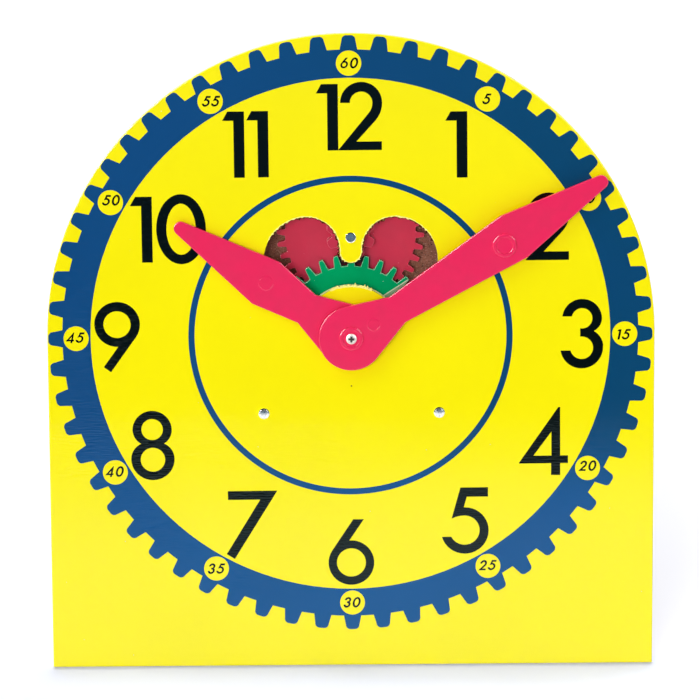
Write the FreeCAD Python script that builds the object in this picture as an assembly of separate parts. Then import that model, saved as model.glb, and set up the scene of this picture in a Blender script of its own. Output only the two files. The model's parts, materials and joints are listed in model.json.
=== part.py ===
import FreeCAD, Part
import math
import os
from FreeCAD import Vector

# Geared teaching clock: a painted board with a viewing window, two hands on
# concentric shafts, a two-stage gear train behind the board and a wire leg.
#
# Everything is drawn in the dial's own frame: origin on the hands' axis in the
# dial's front face, +X to the viewer's right, +Y into the board, +Z up the dial.
# The last section leans the clock back and stands it on the table.

# ---------------------------------------------------------------- dial board
dial_width = 323.85
dial_height = 342.9
dial_thickness = 6.35
dial_edge_round = 0.8

# Window: two round lobes either side of a tongue, above an arc round the hands
tongue_half_width = 5.8
tongue_tip_height = 39.75
lobe_inner_radius = 17.8
lobe_inner_height = 46.7
lobe_outer_radius = 23.3
lobe_blend_angle = 83.0
window_hub_radius = 27.1

# ---------------------------------------------------------------- gear train
centre_distance = 53.3
pressure_angle = math.radians(20.0)
hour_gear_teeth = 32
idler_pinion_teeth = 8
idler_wheel_teeth = 36
minute_pinion_teeth = 12
wheel_shift = -1.0
pinion_shift = 1.0
mesh_backlash = 0.3
tooth_crown = 0.35
root_flare = 0.55
root_clearance = 0.25
gear_width = 4.0
hour_gear_tooth_angle = 0.4
idler_wheel_tooth_angle = 1.5
idler_wheel_topping = 0.5

# Layers behind the dial
dial_gap = 1.5
layer_gap = 1.0
plate_gap = 1.2
back_plate_thickness = 3.2

# ---------------------------------------------------------------- hands
minute_clock_angle = 57.9
hour_clock_angle = 303.35
hand_thickness = 2.4
hand_edge_round = 0.6
hand_hub_radius = 17.3
hand_tip_radius = 3.65
hand_rivet_clearance = 0.4
hand_gap = 1.0
minute_hand_length = 160.0
minute_neck_at = 29.0
minute_neck_half_width = 8.0
minute_wide_at = 102.0
minute_wide_half_width = 13.2
hour_hand_length = 111.4
hour_neck_at = 28.2
hour_neck_half_width = 8.9
hour_wide_at = 54.2
hour_wide_half_width = 13.4

# Raised finger button on the minute hand and raised boss round its screw
button_at = 95.3
button_aside = 1.3
button_radius = 6.4
button_height = 1.1
button_dish_radius = 4.3
button_dish_depth = 0.45
boss_radius = 6.4
boss_height = 1.0
boss_dish_radius = 4.4
boss_dish_depth = 0.5
raised_outer_round = 0.8
raised_rim_round = 0.35

# ---------------------------------------------------------------- shafts
running_clearance = 0.07
arbor_radius = 2.4
arbor_flat_half = 1.9
arbor_seat_depth = 1.8
sleeve_outer_radius = 4.4
bush_wall = 1.5
bush_flange_radius = 8.0
bush_flange_thickness = 0.8
hub_boss_radius = 7.5
boss_running_gap = 0.15
rear_bush_radius = 4.5
rear_flange_radius = 6.5
rear_flange_thickness = 0.6
hand_washer_radius = 6.0
spring_washer_radius = 5.5
spring_washer_thickness = 0.25
spring_washer_gap = 0.05
screw_head_radius = 3.05
screw_head_height = 1.6
screw_shank_radius = 1.45
screw_shank_length = 9.0
screw_cross_length = 3.6
screw_cross_width = 0.9
clip_outer_radius = 4.4
clip_thickness = 0.6
clip_gap = 0.25
clip_mouth = 3.2
arbor_groove_radius = 1.9
arbor_tail = 2.2

# ---------------------------------------------------------------- fasteners
rivet_head_radius = 2.9
rivet_head_height = 1.0
rivet_head_rim = 0.4
rivet_shank_radius = 2.3
rivet_hole_clearance = 0.05
rivet_tail_radius = 3.4
rivet_tail_height = 1.2
rivet_spacing = 93.8
rivet_drop = 41.7
spacer_radius = 4.5
post_radius = 3.0
rivet_washer_radius = 5.0
rivet_washer_thickness = 0.8

# Back plate outline, measured from the hands' axis
plate_half_width = 58.0
plate_below = 54.0
plate_above = 97.0
plate_corner_radius = 12.0

# ---------------------------------------------------------------- wire stand
lean_angle = math.radians(12.0)
leg_splay = math.radians(13.0)
wire_radius = 2.0
wire_bend = 4.0
foot_bend = 12.0
leg_half_width = 72.0
pivot_length = 20.0
heel_length = 12.0
hinge_height = -8.0
heel_gap = 0.3
foot_radius = 3.0
foot_length = 24.0
foot_inset = 2.0
strap_thickness = 1.2
strap_height = 20.0
strap_margin = 3.0
strap_corner = 2.0
barrel_clearance = 0.06
barrel_end_gap = 0.5
clip_screw_inset = 4.0
clip_screw_heights = (9.0, 16.0)
clip_screw_head_radius = 2.8
clip_screw_head_height = 1.5
clip_screw_shank_radius = 1.4
clip_screw_grip = 4.2
clip_screw_cross = 3.2

# ---------------------------------------------------------------- derived
dial_radius = dial_width / 2
dial_bottom = dial_radius - dial_height

front_module = 2 * centre_distance / (hour_gear_teeth + idler_pinion_teeth)
rear_module = 2 * centre_distance / (idler_wheel_teeth + minute_pinion_teeth)

front_layer = dial_thickness + dial_gap
front_layer_back = front_layer + gear_width
rear_layer = front_layer_back + layer_gap
rear_layer_back = rear_layer + gear_width
plate_front = rear_layer_back + plate_gap
plate_back = plate_front + back_plate_thickness

hour_hand_back = -rivet_head_height - hand_rivet_clearance
hour_hand_front = hour_hand_back - hand_thickness
minute_hand_back = hour_hand_front - hand_gap
minute_hand_front = minute_hand_back - hand_thickness
screw_seat = minute_hand_front - boss_height + boss_dish_depth
arbor_front = minute_hand_back - arbor_seat_depth

sleeve_bore = arbor_radius + running_clearance
bush_bore = sleeve_outer_radius + running_clearance
bush_outer_radius = sleeve_outer_radius + bush_wall
bush_flange_back = dial_thickness + bush_flange_thickness
rivet_hole = rivet_shank_radius + rivet_hole_clearance
post_bore = post_radius + running_clearance

open_angle = lean_angle + leg_splay
hinge_depth = dial_thickness + strap_thickness + heel_gap + wire_radius
stand_up_height = (
    (dial_thickness - dial_edge_round) * math.sin(lean_angle)
    - (dial_bottom + dial_edge_round) * math.cos(lean_angle)
    + dial_edge_round
)
hinge_above_table = (
    stand_up_height + hinge_height * math.cos(lean_angle) - hinge_depth * math.sin(lean_angle)
)
leg_length = (hinge_above_table - foot_radius) / math.cos(leg_splay)
foot_depth = hinge_depth + leg_length * math.sin(open_angle)
foot_height = hinge_height - leg_length * math.cos(open_angle)

rivet_places = [(-rivet_spacing / 2, -rivet_drop), (rivet_spacing / 2, -rivet_drop)]


# ---------------------------------------------------------------- drawing tools
def flat(x, z):
    """A point of an outline, drawn in the dial's plane."""
    return Vector(x, 0, z)


def polar(radius, angle, x=0.0, z=0.0):
    """A point at a clockwise angle from 12 o'clock about (x, z)."""
    return flat(x + radius * math.sin(angle), z + radius * math.cos(angle))


def line(start, end):
    return Part.LineSegment(start, end).toShape()


def arc(start, middle, end):
    return Part.Arc(start, middle, end).toShape()


def curve(points):
    spline = Part.BSplineCurve()
    spline.interpolate(points)
    return spline.toShape()


def slab(edges, front, back):
    """Extrude a closed outline from one depth to another."""
    outline = Part.Wire(Part.__sortEdges__(edges))
    face = Part.Face(outline)
    face.translate(Vector(0, front, 0))
    return face.extrude(Vector(0, back - front, 0))


def mirrored_slab(right_half, front, back):
    """Extrude an outline whose left half mirrors the edges given."""
    left_half = [edge.mirror(Vector(0, 0, 0), Vector(1, 0, 0)) for edge in right_half]
    return slab(right_half + left_half, front, back)


def rod(radius, front, back, x=0.0, z=0.0):
    return Part.makeCylinder(radius, back - front, Vector(x, front, z), Vector(0, 1, 0))


def tube(outer, inner, front, back, x=0.0, z=0.0):
    return rod(outer, front, back, x, z).cut(rod(inner, front, back, x, z))


def box(low_x, high_x, front, back, low_z, high_z):
    size = (high_x - low_x, back - front, high_z - low_z)
    return Part.makeBox(*size, Vector(low_x, front, low_z))


def turned(profile, x=0.0, z=0.0):
    """Turn a closed (radius, depth) profile about an axis along the depth."""
    points = [Vector(radius, depth, 0) for radius, depth in profile]
    face = Part.Face(Part.makePolygon(points + points[:1]))
    solid = face.revolve(Vector(0, 0, 0), Vector(0, 1, 0), 360)
    solid.translate(Vector(x, 0, z))
    return solid


def dome(radius, height, base, direction, x=0.0, z=0.0, rim=0.0):
    """A round head that rises by height from its base plane, above a straight rim."""
    crown = height - rim
    sphere_radius = (radius**2 + crown**2) / (2 * crown)
    centre = Vector(x, base - direction * (sphere_radius - height), z)
    ball = Part.makeSphere(sphere_radius, centre)
    tip = base + direction * height
    return ball.common(rod(radius, min(base, tip), max(base, tip), x, z))


def cross_recess(length, width, front, back, x=0.0, z=0.0):
    upright = box(x - width / 2, x + width / 2, front, back, z - length / 2, z + length / 2)
    level = box(x - length / 2, x + length / 2, front, back, z - width / 2, z + width / 2)
    return upright.fuse(level)


# ---------------------------------------------------------------- gears
def involute(angle):
    return math.tan(angle) - angle


def base_radius(teeth, module):
    return teeth * module / 2 * math.cos(pressure_angle)


def gear(teeth, module, shift, tip_radius, front, back, tooth_angle, x=0.0, z=0.0):
    """A spur gear with one tooth at the given clockwise angle."""
    pitch_radius = teeth * module / 2
    base = base_radius(teeth, module)
    root = pitch_radius + module * (shift - 1 - root_clearance)
    thickness = module * (math.pi / 2 + 2 * shift * math.tan(pressure_angle)) - mesh_backlash / 2
    pitch_half_angle = thickness / (2 * pitch_radius)
    flank_start = max(base, root)
    corner = tip_radius - tooth_crown
    pitch = 2 * math.pi / teeth

    def half_angle(radius):
        working = math.acos(min(1.0, base / radius))
        return pitch_half_angle + involute(pressure_angle) - involute(working)

    radii = [flank_start + (corner - flank_start) * step / 5 for step in range(6)]
    root_half_angle = half_angle(flank_start)
    if root < flank_start:
        root_half_angle += root_flare / root

    edges = []
    for tooth in range(teeth):
        middle = tooth_angle + tooth * pitch
        left_root = polar(root, middle - root_half_angle, x, z)
        right_root = polar(root, middle + root_half_angle, x, z)
        left = [polar(radius, middle - half_angle(radius), x, z) for radius in radii]
        right = [polar(radius, middle + half_angle(radius), x, z) for radius in reversed(radii)]
        if root < flank_start:
            edges.append(line(left_root, left[0]))
            edges.append(line(right[-1], right_root))
        edges.append(curve(left))
        edges.append(arc(left[-1], polar(tip_radius, middle, x, z), right[0]))
        edges.append(curve(right))
        valley = polar(root, middle + pitch / 2, x, z)
        next_root = polar(root, middle + pitch - root_half_angle, x, z)
        edges.append(arc(right_root, valley, next_root))
    return slab(edges, front, back)


# ---------------------------------------------------------------- dial board
def window_edges():
    """Right half of the window, from the tongue's tip round to the hub arc."""
    tongue_centre = tongue_tip_height + tongue_half_width
    lobe_x = tongue_half_width + lobe_inner_radius
    blend = math.radians(90 - lobe_blend_angle)
    outer_shift = lobe_outer_radius - lobe_inner_radius
    outer = polar(-outer_shift, blend, lobe_x, lobe_inner_height)
    reach = math.hypot(outer.x, outer.z)
    along = (window_hub_radius**2 - lobe_outer_radius**2 + reach**2) / (2 * reach)
    turn = math.acos(along / window_hub_radius)
    meeting_angle = math.atan2(outer.x, outer.z) + turn
    meeting = polar(window_hub_radius, meeting_angle)
    far_end = math.atan2(meeting.x - outer.x, meeting.z - outer.z)
    far_end += 2 * math.pi if far_end < 0 else 0

    tip = flat(0, tongue_tip_height)
    tongue_corner = flat(tongue_half_width, tongue_centre)
    tongue_round = polar(tongue_half_width, math.radians(135), 0, tongue_centre)
    lobe_start = flat(tongue_half_width, lobe_inner_height)
    lobe_middle = polar(lobe_inner_radius, math.radians(-45), lobe_x, lobe_inner_height)
    lobe_top = polar(lobe_inner_radius, blend, lobe_x, lobe_inner_height)
    outer_middle = polar(lobe_outer_radius, (blend + far_end) / 2, outer.x, outer.z)
    return [
        arc(tip, tongue_round, tongue_corner),
        line(tongue_corner, lobe_start),
        arc(lobe_start, lobe_middle, lobe_top),
        arc(lobe_top, outer_middle, meeting),
        arc(meeting, polar(window_hub_radius, meeting_angle / 2), flat(0, window_hub_radius)),
    ]


def dial_board():
    outline = [
        line(flat(0, dial_bottom), flat(dial_radius, dial_bottom)),
        line(flat(dial_radius, dial_bottom), flat(dial_radius, 0)),
        arc(flat(dial_radius, 0), polar(dial_radius, math.pi / 4), flat(0, dial_radius)),
    ]
    board = mirrored_slab(outline, 0, dial_thickness)
    rims = [
        edge
        for edge in board.Edges
        if abs(edge.BoundBox.YLength) < 0.001
    ]
    board = board.makeFillet(dial_edge_round, rims)
    board = board.cut(mirrored_slab(window_edges(), 0, dial_thickness))
    board = board.cut(rod(bush_outer_radius, 0, dial_thickness))
    for x, z in rivet_places + [(0, centre_distance)]:
        board = board.cut(rod(rivet_hole, 0, dial_thickness, x, z))
    for side in (-1, 1):
        for x, z in clip_screw_places(side):
            depth = dial_thickness - clip_screw_grip
            board = board.cut(rod(clip_screw_shank_radius, depth, dial_thickness, x, z))
    return board


def dial_bush():
    bush_front = hour_hand_back + boss_running_gap
    bush = tube(bush_outer_radius, bush_bore, bush_front, dial_thickness)
    flange = tube(bush_flange_radius, bush_bore, dial_thickness, bush_flange_back)
    return bush.fuse(flange).removeSplitter()


# ---------------------------------------------------------------- back plate
def back_plate():
    plate = box(
        -plate_half_width, plate_half_width, plate_front, plate_back, -plate_below, plate_above
    )
    corners = [edge for edge in plate.Edges if edge.BoundBox.YLength > back_plate_thickness / 2]
    plate = plate.makeFillet(plate_corner_radius, corners)
    plate = plate.cut(rod(rear_bush_radius, plate_front, plate_back))
    for x, z in rivet_places + [(0, centre_distance)]:
        plate = plate.cut(rod(rivet_hole, plate_front, plate_back, x, z))
    return plate


def rear_bush():
    bush = tube(rear_bush_radius, sleeve_bore, plate_front, plate_back)
    flange_front = plate_front - rear_flange_thickness
    flange = tube(rear_flange_radius, sleeve_bore, flange_front, plate_front)
    return bush.fuse(flange).removeSplitter()


def rivet(x, z):
    """A rivet through dial, spacer, plate and washer, headed at both ends."""
    tail = plate_back + rivet_washer_thickness
    shank = rod(rivet_shank_radius, 0, tail, x, z)
    head = dome(rivet_head_radius, rivet_head_height, 0, -1, x, z, rivet_head_rim)
    upset = dome(rivet_tail_radius, rivet_tail_height, tail, 1, x, z)
    return shank.fuse([head, upset])


def dial_rivets():
    return [rivet(x, z) for x, z in rivet_places]


def idler_post():
    shoulder = rod(post_radius, dial_thickness, plate_front, 0, centre_distance)
    return rivet(0, centre_distance).fuse(shoulder)


def plate_spacers():
    return [tube(spacer_radius, rivet_hole, dial_thickness, plate_front, x, z) for x, z in rivet_places]


def rivet_washers():
    back = plate_back + rivet_washer_thickness
    places = rivet_places + [(0, centre_distance)]
    return [tube(rivet_washer_radius, rivet_hole, plate_back, back, x, z) for x, z in places]


# ---------------------------------------------------------------- gear train
def wheel_tip_radius(teeth, module):
    return teeth * module / 2 + module * (1 + wheel_shift)


def hour_gear():
    """Green gear on the hour sleeve, in the layer just behind the dial."""
    wheel = gear(
        hour_gear_teeth, front_module, wheel_shift, wheel_tip_radius(hour_gear_teeth, front_module),
        front_layer, front_layer_back, math.radians(hour_gear_tooth_angle),
    )
    boss_front = bush_flange_back + boss_running_gap
    wheel = wheel.fuse(rod(hub_boss_radius, boss_front, front_layer))
    return wheel.cut(rod(sleeve_outer_radius, boss_front, front_layer_back)).removeSplitter()


def idler_gear():
    """Red compound gear: a small pinion in front of a large wheel, one moulding."""
    ratio = hour_gear_teeth / idler_pinion_teeth
    pinion_gap_angle = 180 - hour_gear_tooth_angle * ratio
    pinion_angle = math.radians(pinion_gap_angle + 180 / idler_pinion_teeth)
    pinion_tip = centre_distance - base_radius(hour_gear_teeth, front_module)
    pinion = gear(
        idler_pinion_teeth, front_module, pinion_shift, pinion_tip,
        front_layer, rear_layer, pinion_angle, 0, centre_distance,
    )
    wheel_tip = wheel_tip_radius(idler_wheel_teeth, rear_module) - idler_wheel_topping
    wheel = gear(
        idler_wheel_teeth, rear_module, wheel_shift, wheel_tip,
        rear_layer, rear_layer_back, math.radians(idler_wheel_tooth_angle), 0, centre_distance,
    )
    boss_front = dial_thickness + boss_running_gap
    boss_back = plate_front - boss_running_gap
    boss = rod(hub_boss_radius, boss_front, boss_back, 0, centre_distance)
    bore = rod(post_bore, boss_front, boss_back, 0, centre_distance)
    return wheel.fuse([pinion, boss]).cut(bore).removeSplitter()


def minute_pinion():
    """Small pinion on the minute arbor, in the layer of the idler's wheel."""
    ratio = idler_wheel_teeth / minute_pinion_teeth
    gap_angle = -idler_wheel_tooth_angle * ratio
    pinion_angle = math.radians(gap_angle + 180 / minute_pinion_teeth)
    tip = centre_distance - base_radius(idler_wheel_teeth, rear_module)
    pinion = gear(
        minute_pinion_teeth, rear_module, pinion_shift, tip,
        rear_layer, rear_layer_back, pinion_angle,
    )
    boss_front = front_layer_back + boss_running_gap
    pinion = pinion.fuse(rod(hub_boss_radius, boss_front, rear_layer))
    return pinion.cut(rod(arbor_radius, boss_front, rear_layer_back)).removeSplitter()


# ---------------------------------------------------------------- shafts
def hour_sleeve():
    return tube(sleeve_outer_radius, sleeve_bore, hour_hand_front, front_layer_back)


def arbor_flats(front, back):
    """The arbor's front end, with two flats that turn the minute hand."""
    reach = arbor_radius + 1
    return rod(arbor_radius, front, back).common(
        box(-arbor_flat_half, arbor_flat_half, front, back, -reach, reach)
    )


def minute_arbor():
    groove_front = plate_back + clip_gap
    groove_back = groove_front + clip_thickness
    shaft = rod(arbor_radius, minute_hand_back, plate_back + arbor_tail)
    shaft = shaft.fuse(turn_to_minute(arbor_flats(arbor_front, minute_hand_back)))
    shaft = shaft.cut(tube(arbor_radius + 1, arbor_groove_radius, groove_front, groove_back))
    thread_end = screw_seat + screw_shank_length
    return shaft.cut(rod(screw_shank_radius, arbor_front, thread_end)).removeSplitter()


def hand_screw():
    head = dome(screw_head_radius, screw_head_height, screw_seat, -1)
    head_top = screw_seat - screw_head_height
    recess = cross_recess(
        screw_cross_length, screw_cross_width, head_top, screw_seat - screw_head_height / 3
    )
    shank = rod(screw_shank_radius, screw_seat, screw_seat + screw_shank_length)
    return head.cut(recess).fuse(shank)


def hand_washer():
    front = minute_hand_back
    back = hour_hand_front - boss_running_gap
    return tube(hand_washer_radius, arbor_radius, front, back)


def spring_washer():
    """A dished washer that presses the pinion forward and makes the hands stiff."""
    front = rear_layer_back
    back = plate_front - rear_flange_thickness - spring_washer_gap
    return turned([
        (arbor_radius + running_clearance, front),
        (arbor_radius + running_clearance, front + spring_washer_thickness),
        (spring_washer_radius, back),
        (spring_washer_radius, back - spring_washer_thickness),
    ])


def arbor_clip():
    """A spring clip in the arbor's groove, open on one side."""
    front = plate_back + clip_gap
    back = front + clip_thickness
    clip = tube(clip_outer_radius, arbor_groove_radius, front, back)
    half = clip_mouth / 2
    return clip.cut(box(-half, half, front, back, -clip_outer_radius, 0))


# ---------------------------------------------------------------- hands
def turn_to(shape, clock_angle):
    turned_shape = shape.copy()
    turned_shape.rotate(Vector(0, 0, 0), Vector(0, 1, 0), clock_angle)
    return turned_shape


def turn_to_minute(shape):
    return turn_to(shape, minute_clock_angle)


def hand_blank(length, neck_at, neck_half_width, wide_at, wide_half_width, front, back):
    """A hand pointing to 12: round hub, waisted neck, wide blade, round tip."""
    neck_reach = math.hypot(neck_half_width, neck_at)
    neck_angle = math.atan2(neck_half_width, neck_at)
    hub_angle = neck_angle + math.acos(hand_hub_radius / neck_reach)
    tip_centre = length - hand_tip_radius
    wide_reach = math.hypot(wide_half_width, wide_at - tip_centre)
    wide_angle = math.atan2(wide_half_width, wide_at - tip_centre)
    tip_angle = wide_angle - math.acos(hand_tip_radius / wide_reach)

    hub_bottom = flat(0, -hand_hub_radius)
    hub_middle = polar(hand_hub_radius, (hub_angle + math.pi) / 2)
    hub_end = polar(hand_hub_radius, hub_angle)
    neck = flat(neck_half_width, neck_at)
    wide = flat(wide_half_width, wide_at)
    tip_start = polar(hand_tip_radius, tip_angle, 0, tip_centre)
    tip_middle = polar(hand_tip_radius, tip_angle / 2, 0, tip_centre)
    blank = mirrored_slab(
        [
            arc(hub_bottom, hub_middle, hub_end),
            line(hub_end, neck),
            line(neck, wide),
            line(wide, tip_start),
            arc(tip_start, tip_middle, flat(0, length)),
        ],
        front,
        back,
    )
    rim = [
        edge
        for edge in blank.Edges
        if edge.BoundBox.YLength < 0.001 and edge.BoundBox.YMax < (front + back) / 2
    ]
    return blank.makeFillet(hand_edge_round, rim)


def raised_disc(radius, height, dish_radius, dish_depth, base, x=0.0, z=0.0):
    """A low round boss with a dished top, well rounded outside and slightly inside its rim."""
    top = base - height
    disc = rod(radius, top, base, x, z)
    outer = [edge for edge in disc.Edges if edge.BoundBox.YMax < (top + base) / 2]
    disc = disc.makeFillet(raised_outer_round, outer)
    disc = disc.cut(rod(dish_radius, top, top + dish_depth, x, z))
    level = [edge for edge in disc.Edges if edge.BoundBox.YMax < top + dish_depth / 2]
    return disc.makeFillet(raised_rim_round, [min(level, key=lambda edge: edge.Length)])


def hour_hand():
    hand = hand_blank(
        hour_hand_length, hour_neck_at, hour_neck_half_width, hour_wide_at, hour_wide_half_width,
        hour_hand_front, hour_hand_back,
    )
    hand = hand.cut(rod(sleeve_outer_radius, hour_hand_front, hour_hand_back))
    return turn_to(hand, hour_clock_angle)


def minute_hand():
    hand = hand_blank(
        minute_hand_length, minute_neck_at, minute_neck_half_width,
        minute_wide_at, minute_wide_half_width, minute_hand_front, minute_hand_back,
    )
    boss = raised_disc(boss_radius, boss_height, boss_dish_radius, boss_dish_depth, minute_hand_front)
    button = raised_disc(
        button_radius, button_height, button_dish_radius, button_dish_depth,
        minute_hand_front, button_aside, button_at,
    )
    hand = hand.fuse([boss, button])
    hand = hand.cut(arbor_flats(arbor_front, minute_hand_back))
    hand = hand.cut(rod(screw_shank_radius + running_clearance, screw_seat, arbor_front))
    return turn_to_minute(hand)


# ---------------------------------------------------------------- wire stand
def rounded_path(points, radii):
    """A wire of straight runs joined by tangent arcs at its corners."""
    edges = []
    start = points[0]
    for before, corner, after, radius in zip(points, points[1:], points[2:], radii):
        arriving = (before - corner).normalize()
        leaving = (after - corner).normalize()
        half = arriving.getAngle(leaving) / 2
        setback = radius / math.tan(half)
        arc_start = corner + arriving * setback
        arc_end = corner + leaving * setback
        inward = (arriving + leaving).normalize()
        arc_middle = corner + inward * (radius / math.sin(half) - radius)
        edges.append(line(start, arc_start))
        edges.append(arc(arc_start, arc_middle, arc_end))
        start = arc_end
    edges.append(line(start, points[-1]))
    return Part.Wire(edges)


def stand_leg():
    """One bent wire: heel, pivot, arm, foot bar, arm, pivot, heel."""
    outer = leg_half_width + pivot_length
    right_side = [
        Vector(outer, hinge_depth, hinge_height + heel_length),
        Vector(outer, hinge_depth, hinge_height),
        Vector(leg_half_width, hinge_depth, hinge_height),
        Vector(leg_half_width, foot_depth, foot_height),
    ]
    left_side = [Vector(-point.x, point.y, point.z) for point in reversed(right_side)]
    bends = [wire_bend, wire_bend, foot_bend, foot_bend, wire_bend, wire_bend]
    path = rounded_path(right_side + left_side, bends)
    section = Part.makeCircle(wire_radius, right_side[0], Vector(0, 0, 1))
    return path.makePipeShell([Part.Wire(section)], True, True)


def leg_feet():
    """Two soft sleeves on the foot bar, which meet the table."""
    outer_end = leg_half_width - foot_bend - foot_inset
    feet = []
    for start in (outer_end - foot_length, -outer_end):
        origin = Vector(start, foot_depth, foot_height)
        sleeve = Part.makeCylinder(foot_radius, foot_length, origin, Vector(1, 0, 0))
        wire = Part.makeCylinder(wire_radius, foot_length, origin, Vector(1, 0, 0))
        feet.append(sleeve.cut(wire))
    return feet


def clip_span():
    """Inner and outer x of the right-hand clip's barrel."""
    inner = leg_half_width + wire_bend + barrel_end_gap
    outer = leg_half_width + pivot_length - wire_bend - barrel_end_gap
    return inner, outer


def clip_screw_places(side):
    x = side * (clip_span()[0] + clip_screw_inset)
    return [(x, hinge_height + height) for height in clip_screw_heights]


def stand_clip(side):
    """A strap screwed to the dial, rolled into a barrel round the wire's pivot."""
    inner, outer = clip_span()
    barrel_bore = wire_radius + barrel_clearance
    barrel_radius = barrel_bore + strap_thickness
    strap_back = dial_thickness + strap_thickness
    strap_top = hinge_height + strap_height
    heel_edge = leg_half_width + pivot_length + wire_radius + strap_margin / 3
    heel_start = hinge_height + wire_bend
    strap = box(inner, outer, dial_thickness, strap_back, hinge_height, strap_top)
    tab = box(inner, heel_edge, dial_thickness, strap_back, heel_start, strap_top)
    tab = tab.makeFillet(strap_corner, [
        edge for edge in tab.Edges
        if edge.BoundBox.YLength > strap_thickness / 2 and edge.BoundBox.XMin > outer
    ])
    origin = Vector(inner, hinge_depth, hinge_height)
    barrel = Part.makeCylinder(barrel_radius, outer - inner, origin, Vector(1, 0, 0))
    bore = Part.makeCylinder(barrel_bore, outer - inner, origin, Vector(1, 0, 0))
    clip = strap.fuse([tab, barrel]).cut(bore).removeSplitter()
    if side < 0:
        clip = clip.mirror(Vector(0, 0, 0), Vector(1, 0, 0))
    for x, z in clip_screw_places(side):
        clip = clip.cut(rod(clip_screw_shank_radius, dial_thickness, strap_back, x, z))
    return clip


def clip_screws():
    seat = dial_thickness + strap_thickness
    top = seat + clip_screw_head_height
    screws = []
    for side in (-1, 1):
        for x, z in clip_screw_places(side):
            head = dome(clip_screw_head_radius, clip_screw_head_height, seat, 1, x, z)
            recess = cross_recess(
                clip_screw_cross, screw_cross_width, seat + clip_screw_head_height / 3, top, x, z
            )
            shank = rod(clip_screw_shank_radius, dial_thickness - clip_screw_grip, seat, x, z)
            screws.append(head.cut(recess).fuse(shank))
    return screws


# ---------------------------------------------------------------- assembly
nodes = {
    "dial_board": dial_board(),
    "dial_bush": dial_bush(),
    "back_plate": back_plate(),
    "rear_bush": rear_bush(),
    "dial_rivets": dial_rivets(),
    "idler_post": idler_post(),
    "plate_spacers": plate_spacers(),
    "rivet_washers": rivet_washers(),
    "hour_gear": hour_gear(),
    "hour_sleeve": hour_sleeve(),
    "hour_hand": hour_hand(),
    "idler_gear": idler_gear(),
    "minute_pinion": minute_pinion(),
    "minute_arbor": minute_arbor(),
    "minute_hand": minute_hand(),
    "hand_screw": hand_screw(),
    "hand_washer": hand_washer(),
    "spring_washer": spring_washer(),
    "arbor_clip": arbor_clip(),
    "stand_leg": stand_leg(),
    "leg_feet": leg_feet(),
    "stand_clip_left": stand_clip(-1),
    "stand_clip_right": stand_clip(1),
    "clip_screws": clip_screws(),
}


def stand_up(shape):
    """Lean the dial back, with its lower rear edge and the feet on the table."""
    shape.rotate(Vector(0, 0, 0), Vector(1, 0, 0), -math.degrees(lean_angle))
    shape.translate(Vector(0, -base_middle, stand_up_height))
    return shape


# The origin lies midway between the dial's lower front edge and the leg's foot
dial_front_reach = dial_edge_round * math.cos(lean_angle) - dial_edge_round
dial_front_reach += (dial_bottom + dial_edge_round) * math.sin(lean_angle)
foot_reach = foot_depth * math.cos(lean_angle) + foot_height * math.sin(lean_angle) + foot_radius
base_middle = (dial_front_reach + foot_reach) / 2

os.makedirs("parts", exist_ok=True)
for name, shape in nodes.items():
    solid = Part.makeCompound(shape) if isinstance(shape, list) else shape
    stand_up(solid).exportStep(f"parts/{name}.step")
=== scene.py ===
"""Geared teaching clock: the printed board, its hands, gears and stand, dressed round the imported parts."""

import json
import logging
import math
import random
from dataclasses import dataclass
from enum import Enum
from functools import cache

import bmesh
import bpy
from mathutils import Matrix, Vector

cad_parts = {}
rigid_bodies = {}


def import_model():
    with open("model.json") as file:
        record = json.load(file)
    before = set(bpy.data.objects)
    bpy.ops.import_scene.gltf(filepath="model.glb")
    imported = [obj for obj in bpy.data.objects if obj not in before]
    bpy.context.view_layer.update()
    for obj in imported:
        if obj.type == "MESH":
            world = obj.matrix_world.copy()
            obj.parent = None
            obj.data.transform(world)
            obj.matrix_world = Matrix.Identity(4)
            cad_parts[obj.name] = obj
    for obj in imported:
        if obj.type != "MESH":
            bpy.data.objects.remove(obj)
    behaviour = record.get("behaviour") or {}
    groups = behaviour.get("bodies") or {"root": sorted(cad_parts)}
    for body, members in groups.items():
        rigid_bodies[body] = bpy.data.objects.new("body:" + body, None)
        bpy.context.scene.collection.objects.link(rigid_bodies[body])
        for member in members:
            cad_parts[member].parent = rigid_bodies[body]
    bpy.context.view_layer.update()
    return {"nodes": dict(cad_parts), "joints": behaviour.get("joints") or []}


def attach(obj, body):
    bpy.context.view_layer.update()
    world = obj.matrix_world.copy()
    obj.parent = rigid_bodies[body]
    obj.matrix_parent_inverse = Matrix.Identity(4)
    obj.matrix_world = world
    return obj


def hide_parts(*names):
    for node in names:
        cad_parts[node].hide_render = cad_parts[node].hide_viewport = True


for leftover in list(bpy.data.objects):
    bpy.data.objects.remove(leftover)
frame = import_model()

log = logging.getLogger("clock")
MM = 0.001
SHARP = math.radians(35)  # an edge that bends more than this is rounded
MERGED = 1e-3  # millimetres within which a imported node's corners are one

WHITE = (1.0, 1.0, 1.0, 1.0)
MOST_NOISE = (0.25, 0.75)  # where most values of a noise lie
PATCH_EDGES = (1.3, 0.8)  # squared distance at which a soft patch starts and is full, in its own half sizes

Point = tuple[float, float]
Triple = tuple[float, float, float]
Colour = tuple[float, float, float, float]
Mesh = bmesh.types.BMesh
Corner = bmesh.types.BMVert
Socket = bpy.types.NodeSocket
Tree = bpy.types.NodeTree


class Body(Enum):
    """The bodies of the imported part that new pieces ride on."""

    FRAME = "frame"
    MINUTE = "minute"
    HOUR = "hour"
    IDLER = "idler"


class Slot(Enum):
    """Names of material slots. No piece in this script is given one."""

    PAINT = "dial_paint"
    HARDBOARD = "hardboard"
    PINK = "pink_plastic"
    RED = "red_plastic"
    GREEN = "green_plastic"
    NICKEL = "nickel"
    ZINC = "zinc"


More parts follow.
